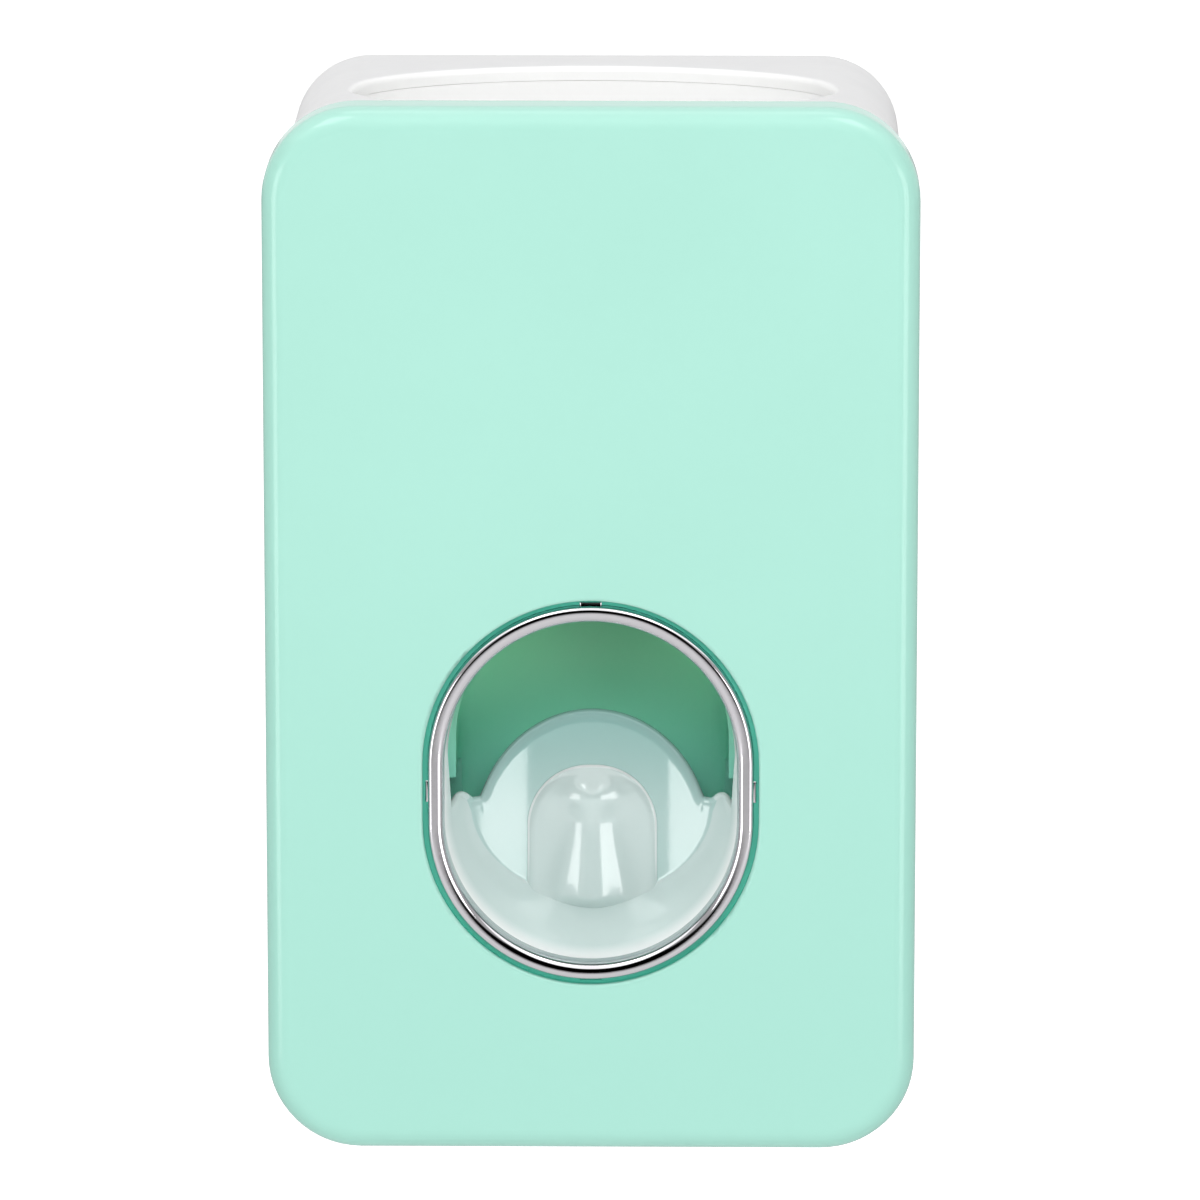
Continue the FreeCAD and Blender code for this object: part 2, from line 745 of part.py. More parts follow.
def make_piston_rod():
    head_end = piston_head_depth + piston_head_length
    rod = bar_back(piston_rod_radius, 0, pump_z, rod_socket_depth, head_end)
    head = bar_back(bore_radius - piston_clearance, 0, pump_z, piston_head_depth, head_end)
    rod = fuse(rod, [head])
    groove_start = piston_head_depth + 0.5 * (piston_head_length - seal_groove_width)
    groove = bar_back(2.0 * bore_radius, 0, pump_z, groove_start, groove_start + seal_groove_width)
    groove = groove.cut(bar_back(bore_radius - 2.0 * seal_section, 0, pump_z, 0.0, overall_depth))
    return cut_all(rod, [groove, bar_back(piston_bore_radius, 0, pump_z, 0.0, overall_depth)])


def make_piston_seal():
    middle = piston_head_depth + 0.5 * piston_head_length
    radius = bore_radius - seal_fit - seal_section
    return Part.makeTorus(radius, seal_section - seal_fit, Vector(0, at(middle), pump_z), Vector(0, 1, 0))


def make_inlet_tower():
    base = box(
        -deck_half_width,
        deck_half_width,
        barrel_front_depth,
        chassis_depth - tower_gap,
        deck_z,
        deck_z + tower_base_height,
    )
    corners = [e for e in base.Edges if e.BoundBox.ZLength > 0.5 * tower_base_height]
    base = base.makeFillet(tower_corner_radius, corners)
    tower = bar_up(tower_radius, 0, mouth_depth, deck_z + 0.1 * tower_base_height, tower_top_z)
    body = fuse(base, [tower])
    floor_z = deck_z + tower_base_height
    channel_top = floor_z - tower_roof
    half = tower_channel_half_width
    removed = [
        bar_up(tube_seal_radius + seal_seat_fit, 0, mouth_depth, floor_z, reach),
        bar_up(tube_hole_radius, 0, mouth_depth, channel_top - tower_channel_height, reach),
        box(-half, half, mouth_depth, port_depth, channel_top - tower_channel_height, channel_top),
        bar_up(half, 0, port_depth, 0.0, channel_top),
    ]
    for sx in (-1, 1):
        removed.append(bar_up(
            yoke_screw_radius + screw_clearance, sx * tower_screw_x, tower_screw_depth, 0.0, reach))
        removed.append(bar_up(
            yoke_screw_head_radius + screw_clearance,
            sx * tower_screw_x,
            tower_screw_depth,
            deck_z + tower_screw_seat,
            reach,
        ))
    return cut_all(body, removed)


def make_tower_screws():
    seat = deck_z + tower_screw_seat
    shank = bar_up(yoke_screw_radius, tower_screw_x, tower_screw_depth, deck_z - tower_screw_bite, seat)
    head_top = seat + yoke_screw_head_height
    head = bar_up(yoke_screw_head_radius, tower_screw_x, tower_screw_depth, seat, head_top)
    return Part.makeCompound(mirrored_pair(fuse(shank, [head])))


def make_inlet_valve():
    disc = bar_up(valve_radius, 0, port_depth, deck_z - valve_thickness, deck_z)
    flap_radius = 1.4 * port_radius
    slit = bar_up(flap_radius + valve_slit, 0, port_depth, 0.0, reach)
    slit = slit.cut(bar_up(flap_radius, 0, port_depth, -reach, reach))
    half = 0.5 * valve_hinge
    hinge = box(-half, half, 0.0, port_depth, -reach, reach)
    return disc.cut(slit.cut(hinge))


def make_tube_seal():
    floor_z = deck_z + tower_base_height
    top = floor_z + tube_seal_length
    seal = bar_up(tube_seal_radius, 0, mouth_depth, floor_z, top)
    bore = bar_up(tube_neck_radius, 0, mouth_depth, floor_z + tube_seal_ledge, reach)
    hole = bar_up(tube_hole_radius, 0, mouth_depth, 0.0, top)
    return cut_all(seal, [bore, hole])


def make_guide_rods():
    rod = bar_back(rod_radius, rod_x, oval_z, rod_front_depth, rod_end_depth - 0.1)
    rod = rod.makeChamfer(rod_chamfer, edges_at_depth(rod, rod_front_depth))
    groove_back = ear_front_depth - clip_gap
    groove = bar_back(2.0 * rod_radius, rod_x, oval_z, groove_back - clip_thickness, groove_back)
    groove = groove.cut(bar_back(rod_radius - clip_groove, rod_x, oval_z, 0.0, overall_depth))
    return Part.makeCompound(mirrored_pair(rod.cut(groove)))


def make_rod_clips():
    back = ear_front_depth - clip_gap
    clip = bar_back(clip_radius, rod_x, oval_z, back - clip_thickness + 0.5 * clip_fit, back - 0.5 * clip_fit)
    clip = clip.cut(bar_back(rod_radius - clip_groove + clip_fit, rod_x, oval_z, 0.0, overall_depth))
    half = 0.5 * clip_mouth
    clip = clip.cut(box(rod_x - half, rod_x + half, 0.0, overall_depth, oval_z - 2.0 * clip_radius, oval_z))
    return Part.makeCompound(mirrored_pair(clip))


def biarc(start, start_way, end, end_way):
    # Two arcs that meet smoothly and leave both ends along the given ways.
    chord = end - start
    ways = start_way + end_way
    a = 2.0 * (1.0 - start_way.dot(end_way))
    b = 2.0 * chord.dot(ways)
    c = -chord.dot(chord)
    reach = (-b + math.sqrt(b * b - 4.0 * a * c)) / (2.0 * a)
    left = start + start_way * reach
    right = end - end_way * reach
    joint = (left + right) * 0.5
    arcs = []
    for first, corner, last in ((start, left, joint), (joint, right, end)):
        half_chord = (last - first) * 0.5
        middle = first + half_chord
        toward = corner - middle
        leg = (corner - first).Length
        bulge = half_chord.Length * toward.Length / (leg + half_chord.Length)
        arcs.append(Part.Arc(first, middle + toward.normalize() * bulge, last).toShape())
    return arcs


def make_return_springs():
    first = ear_back_depth + bush_flange + spring_wire + spring_gap
    last = rod_boss_depth - spring_wire - spring_gap
    rise = last - first
    steps = spring_turns * 4
    turn_length = 2.0 * math.pi * spring_radius
    slope = math.hypot(turn_length, rise / spring_turns)

    def place(step):
        angle = 0.5 * math.pi * step
        x = rod_x + spring_radius * math.cos(angle)
        z = oval_z + spring_radius * math.sin(angle)
        return Vector(x, at(first + rise * step / steps), z)

    def way(step):
        angle = 0.5 * math.pi * step
        level = turn_length / slope
        climb = rise / spring_turns / slope
        return Vector(-level * math.sin(angle), climb, level * math.cos(angle))

    edges = []
    for step in range(steps):
        edges += biarc(place(step), way(step), place(step + 1), way(step + 1))
    path = Part.Wire(edges)
    section = Part.Wire(Part.Circle(place(0), way(0), spring_wire).toShape())
    coil = path.makePipeShell([section], True, False)
    print("spring least self-gap", round(rise / spring_turns - 2.0 * spring_wire, 2))
    return Part.makeCompound(mirrored_pair(coil))


def make_spout_yoke():
    block = box(-yoke_half_width, yoke_half_width, yoke_front_depth, yoke_back_depth, yoke_low_z, yoke_high_z)
    upright = [e for e in block.Edges if e.BoundBox.XLength < 0.001 and e.BoundBox.ZLength < 0.001]
    block = block.makeFillet(yoke_rounding, upright)
    spout = bar_up(spout_radius, 0, spout_depth, spout_end_z, 0.5 * (yoke_low_z + pump_z))
    yoke = fuse(block, [spout])
    removed = [
        bar_back(piston_rod_radius + rod_press, 0, pump_z, rod_socket_depth, overall_depth),
        bar_up(spout_bore, 0, spout_depth, 0.0, pump_z),
        bar_back(piston_bore_radius, 0, pump_z, spout_depth - spout_bore, yoke_back_depth),
    ]
    for sx in (-1, 1):
        removed.append(bar_back(
            yoke_screw_radius + screw_pilot,
            sx * yoke_screw_x,
            yoke_screw_z,
            0.0,
            yoke_back_depth - yoke_skin,
        ))
    return cut_all(yoke, removed)


def make_yoke_screws():
    shank = bar_back(yoke_screw_radius, yoke_screw_x, yoke_screw_z, tab_front_depth, yoke_screw_end_depth)
    head_front = tab_front_depth - yoke_screw_head_height
    head = bar_back(yoke_screw_head_radius, yoke_screw_x, yoke_screw_z, head_front, tab_front_depth)
    head = head.makeFillet(yoke_screw_rounding, edges_at_depth(head, head_front))
    return Part.makeCompound(mirrored_pair(fuse(shank, [head])))


def make_outlet_valve():
    floor_z = spout_end_z - duckbill_floor
    sleeve = bar_up(duckbill_radius, 0, spout_depth, floor_z, yoke_low_z - duckbill_gap)
    sleeve = sleeve.cut(bar_up(spout_radius + seal_fit, 0, spout_depth, spout_end_z, reach))
    lips_top = duckbill_radius - 0.5 * duckbill_floor
    tip = Vector(0, at(spout_depth), spout_tip_z)
    lips = Part.makeCone(duckbill_tip_radius, lips_top, floor_z - spout_tip_z, tip)
    valve = fuse(sleeve, [lips])
    half = 0.5 * duckbill_slit
    slit_top = spout_end_z + duckbill_gap
    slit = box(-spout_bore, spout_bore, spout_depth - half, spout_depth + half, -reach, slit_top)
    return valve.cut(slit)


def make_chassis_screws():
    return Part.makeCompound([
        pan_screw(x, z, chassis_depth, screw_length, False) for x, z in chassis_screw_places()
    ])


def make_rear_screws(places):
    return Part.makeCompound([pan_screw(x, z, chassis_back_depth, screw_length, True) for x, z in places])


os.makedirs("parts", exist_ok=True)
save("front_cover", make_front_cover())
save("chrome_ring", make_chrome_ring())
save("rear_body", make_rear_body())
save("adhesive_pad", make_adhesive_pad())
save("tube_funnel", make_tube_funnel())
save("chassis_plate", make_chassis_plate())
save("chassis_screws", make_chassis_screws())
save("push_cup", make_push_cup())
save("guide_bushes", make_guide_bushes())
save("brush_hood", make_brush_hood())
save("hood_screws", make_rear_screws([(sx * hood_leg_x, hood_leg_z) for sx in (-1, 1)]))
save("pump_barrel", make_pump_barrel())
save("barrel_screws", make_rear_screws([(sx * barrel_screw_x, pump_z) for sx in (-1, 1)]))
save("barrel_cap", make_barrel_cap())
save("piston_rod", make_piston_rod())
save("piston_seal", make_piston_seal())
save("inlet_tower", make_inlet_tower())
save("tower_screws", make_tower_screws())
save("inlet_valve", make_inlet_valve())
save("tube_seal", make_tube_seal())
save("guide_rods", make_guide_rods())
save("rod_clips", make_rod_clips())
save("return_springs", make_return_springs())
save("spout_yoke", make_spout_yoke())
save("yoke_screws", make_yoke_screws())
save("outlet_valve", make_outlet_valve())
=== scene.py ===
import bpy
import json
import math
import numpy as np
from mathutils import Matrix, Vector


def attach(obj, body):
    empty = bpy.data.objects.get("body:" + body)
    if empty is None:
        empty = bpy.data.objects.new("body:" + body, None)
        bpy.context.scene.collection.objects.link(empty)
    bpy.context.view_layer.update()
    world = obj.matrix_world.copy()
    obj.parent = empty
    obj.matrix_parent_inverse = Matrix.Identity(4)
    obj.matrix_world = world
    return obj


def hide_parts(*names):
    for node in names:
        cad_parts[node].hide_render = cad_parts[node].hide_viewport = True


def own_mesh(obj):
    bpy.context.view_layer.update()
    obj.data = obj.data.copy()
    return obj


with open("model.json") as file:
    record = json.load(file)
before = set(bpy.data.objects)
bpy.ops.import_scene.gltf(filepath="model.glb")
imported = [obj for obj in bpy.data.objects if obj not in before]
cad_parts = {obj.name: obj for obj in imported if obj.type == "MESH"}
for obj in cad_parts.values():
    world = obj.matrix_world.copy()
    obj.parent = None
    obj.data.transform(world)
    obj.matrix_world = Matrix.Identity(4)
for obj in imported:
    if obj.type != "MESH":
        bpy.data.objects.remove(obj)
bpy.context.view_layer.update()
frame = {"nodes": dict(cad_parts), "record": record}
print("stage: frame loaded")

mm = 0.001
frontY = min(corner[1] for corner in frame["nodes"]["front_cover"].bound_box)  # front face

# sizes in mm; depths count from the front face of the cover
cup = dict(
    front=3.6, bandBack=6.6, bandRadius=22.2, mouth=21.06, inner=19.4, innerBack=7.22,
    throat=19.7, upperZ=-18.2, lowerZ=-26.2, taper=0.452, span=0.9975, join=1.5, crest=2.0,
    backRadius=32.0, backMiddle=16.8, lip=0.65, archRadius=16.2, archMiddle=-30.4,
    valley=-25.8, valleyX=16.6, peak=1.4, peakX=18.4, fall=1.2, roll=0.3, rollReach=1.2, open=19.9,
    bandCuts=(0.05, 0.9, 0.2, 0.3),
)
tongue = dict(
    half=9.6, top=-21.5, corner=9.0, foot=17.5, rise=0.6, edge=1.8,
    flare=0.1, flareTop=-33.0, flareFoot=-44.0,
    crown=1.95, crownTop=-22.4, crownFoot=-26.4, dip=0.5, dipFoot=-30.2, broad=3.6,
    swell=1.1, swellTop=-30.0, swellFoot=-42.0, narrow=2.9, wide=4.5,
    toe=0.6, toeTop=-40.3, toeFoot=-43.0,
)
rod = dict(x=28.5, z=-22.2)  # guide rods, one at each side


# value noise along the object's own coordinates, spread between two limits
def noiseValue(nodes, links, vector, scale, detail, low, high):
    noise = nodes.new("ShaderNodeTexNoise")
    noise.inputs["Scale"].default_value = scale
    noise.inputs["Detail"].default_value = detail
    spread = nodes.new("ShaderNodeMapRange")
    spread.inputs["From Min"].default_value = 0.3
    spread.inputs["From Max"].default_value = 0.7
    spread.inputs["To Min"].default_value = low
    spread.inputs["To Max"].default_value = high
    links.new(vector, noise.inputs["Vector"])
    links.new(noise.outputs["Fac"], spread.inputs["Value"])
    return spread.outputs["Result"]


# one output of a math node with two operands, each a socket or a number
def mathOf(nodes, links, operation, first, second):
    node = nodes.new("ShaderNodeMath")
    node.operation = operation
    for socket, value in zip(node.inputs, (first, second)):
        if isinstance(value, (int, float)):
            socket.default_value = value
        else:
            links.new(value, socket)
    return node.outputs["Value"]


# soft step of a value between two limits, from one level to another
def ramp(nodes, links, value, low, high, fromLevel, toLevel):
    node = nodes.new("ShaderNodeMapRange")
    node.interpolation_type = "SMOOTHSTEP"
    for name, number in (("From Min", low), ("From Max", high), ("To Min", fromLevel), ("To Max", toLevel)):
        node.inputs[name].default_value = number
    links.new(value, node.inputs["Value"])
    return node.outputs["Result"]


# moulded plastic: tint = two colours mixed by slow noise, gloss = medium noise, skin = bump of fine noise
def mouldedGroup():
    skin = dict(slow=28.0, medium=190.0, fine=900.0, dull=1.12, shiny=0.88, depth=0.2)
    group = bpy.data.node_groups.new("mouldedSkin", "ShaderNodeTree")
    face = group.interface
    for name, way, kind in (
            ("Tint", "INPUT", "NodeSocketColor"), ("Shade", "INPUT", "NodeSocketColor"),
            ("Grain", "INPUT", "NodeSocketFloat"), ("Peel", "INPUT", "NodeSocketFloat"),
            ("Colour", "OUTPUT", "NodeSocketColor"), ("Gloss", "OUTPUT", "NodeSocketFloat"),
            ("Normal", "OUTPUT", "NodeSocketVector")):
        face.new_socket(name=name, in_out=way, socket_type=kind)
    nodes, links = group.nodes, group.links
    inlet = nodes.new("NodeGroupInput")
    outlet = nodes.new("NodeGroupOutput")
    coords = nodes.new("ShaderNodeTexCoord")
    slow = noiseValue(nodes, links, coords.outputs["Object"], skin["slow"], 2.0, 0.0, 1.0)
    mix = nodes.new("ShaderNodeMix")
    mix.data_type = "RGBA"
    links.new(slow, mix.inputs["Factor"])
    links.new(inlet.outputs["Tint"], mix.inputs["A"])
    links.new(inlet.outputs["Shade"], mix.inputs["B"])
    links.new(mix.outputs["Result"], outlet.inputs["Colour"])
    medium = noiseValue(
        nodes, links, coords.outputs["Object"], skin["medium"], 3.0, skin["shiny"], skin["dull"])
    gloss = mathOf(nodes, links, "MULTIPLY", medium, inlet.outputs["Grain"])
    links.new(gloss, outlet.inputs["Gloss"])
    fine = noiseValue(nodes, links, coords.outputs["Object"], skin["fine"], 2.0, 0.0, 1.0)
    bump = nodes.new("ShaderNodeBump")
    bump.inputs["Distance"].default_value = skin["depth"] * mm
    links.new(fine, bump.inputs["Height"])
    links.new(inlet.outputs["Peel"], bump.inputs["Strength"])
    links.new(bump.outputs["Normal"], outlet.inputs["Normal"])
    return group


moulded = mouldedGroup()


# one principled material fed by the moulded group
def plastic(name, look):
    material = bpy.data.materials.new(name)
    material.use_nodes = True
    nodes, links = material.node_tree.nodes, material.node_tree.links
    shader = nodes["Principled BSDF"]
    skin = nodes.new("ShaderNodeGroup")
    skin.node_tree = moulded
    skin.inputs["Tint"].default_value = (*look["tint"], 1.0)
    skin.inputs["Shade"].default_value = (*look["shade"], 1.0)
    skin.inputs["Grain"].default_value = look["grain"]
    skin.inputs["Peel"].default_value = look["peel"]
    links.new(skin.outputs["Colour"], shader.inputs["Base Color"])
    links.new(skin.outputs["Gloss"], shader.inputs["Roughness"])
    links.new(skin.outputs["Normal"], shader.inputs["Normal"])
    shader.inputs["Metallic"].default_value = look.get("metallic", 0.0)
    shader.inputs["IOR"].default_value = look.get("ior", 1.5)
    shader.inputs["Subsurface Weight"].default_value = look.get("glow", 0.0)
    shader.inputs["Subsurface Scale"].default_value = 2.0 * mm
    shader.inputs["Specular IOR Level"].default_value = look.get("specular", 0.5)
    return material


looks = {
    "mint_shell": dict(
        tint=(0.405, 0.735, 0.63), shade=(0.395, 0.72, 0.615), grain=0.12, peel=0.02, specular=0.34),
    "mint_hood": dict(tint=(0.33, 0.85, 0.53), shade=(0.32, 0.83, 0.53), grain=0.4, peel=0.05),
    "white_shell": dict(tint=(0.74, 0.74, 0.745), shade=(0.725, 0.725, 0.73), grain=0.35, peel=0.1),
    # white_cup: white plastic painted greyer and greener, as the shade and green bounce light inside the
    # opening
    "white_cup": dict(tint=(0.60, 0.715, 0.695), shade=(0.59, 0.705, 0.685), grain=0.1, peel=0.02, ior=1.82),
    "white_inner": dict(tint=(0.74, 0.74, 0.73), shade=(0.70, 0.70, 0.69), grain=0.45, peel=0.15),
    "grey_inner": dict(tint=(0.42, 0.43, 0.44), shade=(0.39, 0.40, 0.41), grain=0.4, peel=0.15),
    "chrome_trim": dict(
        tint=(0.64, 0.625, 0.65), shade=(0.62, 0.605, 0.63), grain=0.05, peel=0.015, metallic=1.0),
    "steel": dict(tint=(0.60, 0.60, 0.61), shade=(0.52, 0.52, 0.53), grain=0.28, peel=0.1, metallic=1.0),
    "silicone": dict(tint=(0.74, 0.75, 0.73), shade=(0.70, 0.71, 0.69), grain=0.5, peel=0.1, glow=0.3),
    "dark_rubber": dict(tint=(0.03, 0.03, 0.032), shade=(0.04, 0.04, 0.042), grain=0.5, peel=0.2),
    "foam": dict(tint=(0.58, 0.58, 0.56), shade=(0.50, 0.50, 0.48), grain=0.8, peel=0.8),
}
materials = {name: plastic(name, look) for name, look in looks.items()}


# colour of a material drawn towards another by a mask made from the object's own coordinates
def tintZone(slotName, tint, mask):
    nodes, links = materials[slotName].node_tree.nodes, materials[slotName].node_tree.links
    shader = nodes["Principled BSDF"]
    plain = shader.inputs["Base Color"].links[0].from_socket
    coords = nodes.new("ShaderNodeTexCoord")
    place = nodes.new("ShaderNodeSeparateXYZ")
    links.new(coords.outputs["Object"], place.inputs["Vector"])
    mix = nodes.new("ShaderNodeMix")
    mix.data_type = "RGBA"
    links.new(mask(nodes, links, place.outputs), mix.inputs["Factor"])
    links.new(plain, mix.inputs["A"])
    mix.inputs["B"].default_value = (*tint, 1.0)
    links.new(mix.outputs["Result"], shader.inputs["Base Color"])


# groove round the ring, painted dark teal as the shade inside it: behind the face and near the oval, distance
# = past the straight part and across
def grooveShadeMask(nodes, links, place):
    groove = dict(start=0.3, end=0.9, reach=23.6, limit=23.8)
    middle, straight = 0.5 * (cup["upperZ"] + cup["lowerZ"]), 0.5 * (cup["upperZ"] - cup["lowerZ"])
    off = mathOf(nodes, links, "SUBTRACT", place["Z"], middle * mm)
    past = mathOf(nodes, links, "ABSOLUTE", off, 0.0)
    past = mathOf(nodes, links, "SUBTRACT", past, straight * mm)
    past = mathOf(nodes, links, "MAXIMUM", past, 0.0)
    square = mathOf(nodes, links, "MULTIPLY", past, past)
    across = mathOf(nodes, links, "MULTIPLY", place["X"], place["X"])
    away = mathOf(nodes, links, "SQRT", mathOf(nodes, links, "ADD", square, across), 0.0)
    near = ramp(nodes, links, away, groove["reach"] * mm, groove["limit"] * mm, 1.0, 0.0)
    start, end = frontY + groove["start"] * mm, frontY + groove["end"] * mm
    deep = ramp(nodes, links, place["Y"], start, end, 0.0, 1.0)
    return mathOf(nodes, links, "MULTIPLY", near, deep)


# how far a point lies behind the cup's back wall: its depth, less the depth of the wall's arc
def behindWall(nodes, links, place):
    square = mathOf(nodes, links, "MULTIPLY", place["X"], place["X"])
    square = mathOf(nodes, links, "SUBTRACT", (cup["backRadius"] * mm) ** 2, square)
    arc = mathOf(nodes, links, "SQRT", mathOf(nodes, links, "MAXIMUM", square, 0.0), 0.0)
    off = mathOf(nodes, links, "SUBTRACT", place["Y"], arc)
    return mathOf(nodes, links, "SUBTRACT", off, frontY + (cup["backMiddle"] - cup["backRadius"]) * mm)


# top of the cup's back wall, painted darker as the shade under the cover's top edge: high up, and not in
# front of the wall's arc
def archShadeMask(nodes, links, place):
    arch = dict(low=-31.0, high=-14.0, near=-0.12, far=-0.04, least=0.5)
    up = ramp(nodes, links, place["Z"], arch["low"] * mm, arch["high"] * mm, arch["least"], 1.0)
    deep = ramp(nodes, links, behindWall(nodes, links, place), arch["near"] * mm, arch["far"] * mm, 0.0, 1.0)
    return mathOf(nodes, links, "MULTIPLY", up, deep)


# thin painted highlight along the tongue's edge: just in front of the wall's arc, no wider than the tongue,
# above the floor
def edgeHighlightMask(nodes, links, place):
    edge = dict(front=-0.32, back=-0.08, soft=0.06, limit=9.984, low=-40.0, high=-34.0)
    off = behindWall(nodes, links, place)
    front, back, soft = edge["front"] * mm, edge["back"] * mm, edge["soft"] * mm
    line = ramp(nodes, links, off, front - soft, front + soft, 0.0, 1.0)
    line = mathOf(nodes, links, "MULTIPLY", line, ramp(nodes, links, off, back - soft, back + soft, 1.0, 0.0))
    aside = mathOf(nodes, links, "ABSOLUTE", place["X"], 0.0)
    within = ramp(nodes, links, aside, tongue["half"] * mm, edge["limit"] * mm, 1.0, 0.0)
    line = mathOf(nodes, links, "MULTIPLY", line, within)
    up = ramp(nodes, links, place["Z"], edge["low"] * mm, edge["high"] * mm, 0.0, 1.0)
    return mathOf(nodes, links, "MULTIPLY", line, up)


# front rim of the cup, painted whiter than its inside as light catching the rim: a soft step in depth
def rimLightMask(nodes, links, place):
    rim = dict(start=4.4, end=7.4)
    return ramp(nodes, links, place["Y"], frontY + rim["start"] * mm, frontY + rim["end"] * mm, 1.0, 0.0)


# lower part of the hood, painted brighter and bluer than its top as light lifting the shade there: a soft
# step in height
def hoodLightMask(nodes, links, place):
    hood = dict(low=-27.0, high=-6.0)
    return ramp(nodes, links, place["Z"], hood["low"] * mm, hood["high"] * mm, 1.0, 0.0)


# lower part of the cover, painted a shade darker than its top as light falling off downwards: a long soft
# step in height
def lowShadeMask(nodes, links, place):
    cover = dict(low=-70.0, high=50.0)
    return ramp(nodes, links, place["Z"], cover["low"] * mm, cover["high"] * mm, 1.0, 0.0)


# inside of the oval dish, painted whiter than the box round it as light falling into it: squared distance
# from its middle over its half sizes
def dishLightMask(nodes, links, place):
    dish = dict(middle=-32.0, halfWidth=34.2, halfDepth=19.7, inside=0.96, outside=1.02)
    across = mathOf(nodes, links, "DIVIDE", place["X"], dish["halfWidth"] * mm)
    along = mathOf(nodes, links, "SUBTRACT", place["Y"], dish["middle"] * mm)
    along = mathOf(nodes, links, "DIVIDE", along, dish["halfDepth"] * mm)
    across = mathOf(nodes, links, "MULTIPLY", across, across)
    away = mathOf(nodes, links, "ADD", across, mathOf(nodes, links, "MULTIPLY", along, along))
    return ramp(nodes, links, away, dish["inside"], dish["outside"], 1.0, 0.0)


# painted light: whiter inside of the oval dish
tintZone("white_shell", (0.95, 0.95, 0.945), dishLightMask)
# painted shade: cover darker towards the bottom
tintZone("mint_shell", (0.37, 0.695, 0.595), lowShadeMask)
# painted shade: dark teal in the groove round the ring
tintZone("mint_shell", (0.12, 0.66, 0.50), grooveShadeMask)
# painted shade: darker, greener top of the cup's back wall
tintZone("white_cup", (0.32, 0.56, 0.52), archShadeMask)
# painted highlight: pale line along the tongue's edge
tintZone("white_cup", (0.86, 0.91, 0.9), edgeHighlightMask)
# painted light: whiter front rim of the cup
tintZone("white_cup", (0.90, 0.92, 0.915), rimLightMask)
# painted light: brighter, bluer lower part of the hood
tintZone("mint_hood", (0.34, 1.0, 0.78), hoodLightMask)
print("stage: materials made")


# each CAD node takes the material of its slot
def paintNodes():
    for part in frame["record"]["subparts"]:
        node = frame["nodes"][part["node"]]
        node.data.materials.clear()
        node.data.materials.append(materials[part["material_slot"]])


paintNodes()
print("stage: CAD nodes painted")


# point = (x, front face + depth, z), written in mm and turned to metres
def placed(x, depth, z):
    x, depth, z = np.broadcast_arrays(x, depth, z)
    return np.stack([x * mm, frontY + depth * mm, z * mm], axis=-1)


# eased step = 3 t^2 - 2 t^3, with t from 0 to 1 between two limits
def easedStep(value, low, high):
    t = np.clip((value - low) / (high - low), 0.0, 1.0)
    return t * t * (3.0 - 2.0 * t)


# soft minimum = the smaller of two fields, rounded over a width where they cross
def softMin(a, b, width):
    share = np.clip(0.5 + 0.5 * (b - a) / width, 0.0, 1.0)
    return b + (a - b) * share - width * share * (1.0 - share)


# surface = quads between neighbouring rows and columns, wrapped where asked, with end rows closed by fans
def gridSurface(points, wrapRows=False, wrapColumns=False, caps=False):
    rows, columns = points.shape[:2]
    r = np.arange(rows if wrapRows else rows - 1)[:, None]
    c = np.arange(columns if wrapColumns else columns - 1)[None, :]
    rNext, cNext = (r + 1) % rows, (c + 1) % columns
    quads = np.stack(np.broadcast_arrays(
        r * columns + c, r * columns + cNext, rNext * columns + cNext, rNext * columns + c), axis=-1)
    corners = points.reshape(-1, 3)
    faces = [quads.reshape(-1, 4)]
    if caps:
        middles = np.stack([points[0].mean(axis=0), points[-1].mean(axis=0)])
        ring = np.arange(columns)
        after = (ring + 1) % columns
        top = (rows - 1) * columns
        first = np.full(columns, len(corners))
        faces.append(np.stack([after, ring, first], axis=-1))
        faces.append(np.stack([ring + top, after + top, first + 1], axis=-1))
        corners = np.concatenate([corners, middles])
    return facedOut(corners, faces)


# signed volume = a sixth of the summed triple products; a negative one turns every face round
def facedOut(corners, faces):
    volume = 0.0
    for block in faces:
        for k in range(1, block.shape[1] - 1):
            a, b, c = corners[block[:, 0]], corners[block[:, k]], corners[block[:, k + 1]]
            volume += np.einsum("ij,ij->i", a, np.cross(b, c)).sum() / 6.0
    if volume < 0.0:
        faces = [block[:, ::-1] for block in faces]
    return corners, faces


# one object from several closed surfaces, smooth shaded, on its body and in its slot
def pieceFrom(name, surfaces, body, slotName, *nodes):
    corners, faces, count = [], [], 0
    for points, blocks in surfaces:
        corners.append(points)
        for block in blocks:
            faces += (block + count).tolist()
        count += len(points)
    mesh = bpy.data.meshes.new(name)
    mesh.from_pydata(np.concatenate(corners).tolist(), [], faces)
    mesh.polygons.foreach_set("use_smooth", np.ones(len(mesh.polygons), dtype=bool))
    mesh.materials.append(materials[slotName])
    piece = bpy.data.objects.new(name, mesh)
    bpy.context.scene.collection.objects.link(piece)
    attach(piece, body)
    if nodes:
        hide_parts(*nodes)
    return piece


# outline = corners joined by straight lines, each corner cut by a parabola over its own distance
def softCorners(corners, cuts, steps=7):
    corners = np.array(corners, dtype=float)
    t = np.linspace(0.0, 1.0, steps)[:, None]
    outline = []
    for i, cut in enumerate(cuts):
        here, before, after = corners[i], corners[i - 1], corners[(i + 1) % len(corners)]
        start = here + (before - here) * cut / np.linalg.norm(before - here)
        end = here + (after - here) * cut / np.linalg.norm(after - here)
        outline.append((1 - t) ** 2 * start + 2 * t * (1 - t) * here + t ** 2 * end)
    return np.concatenate(outline)


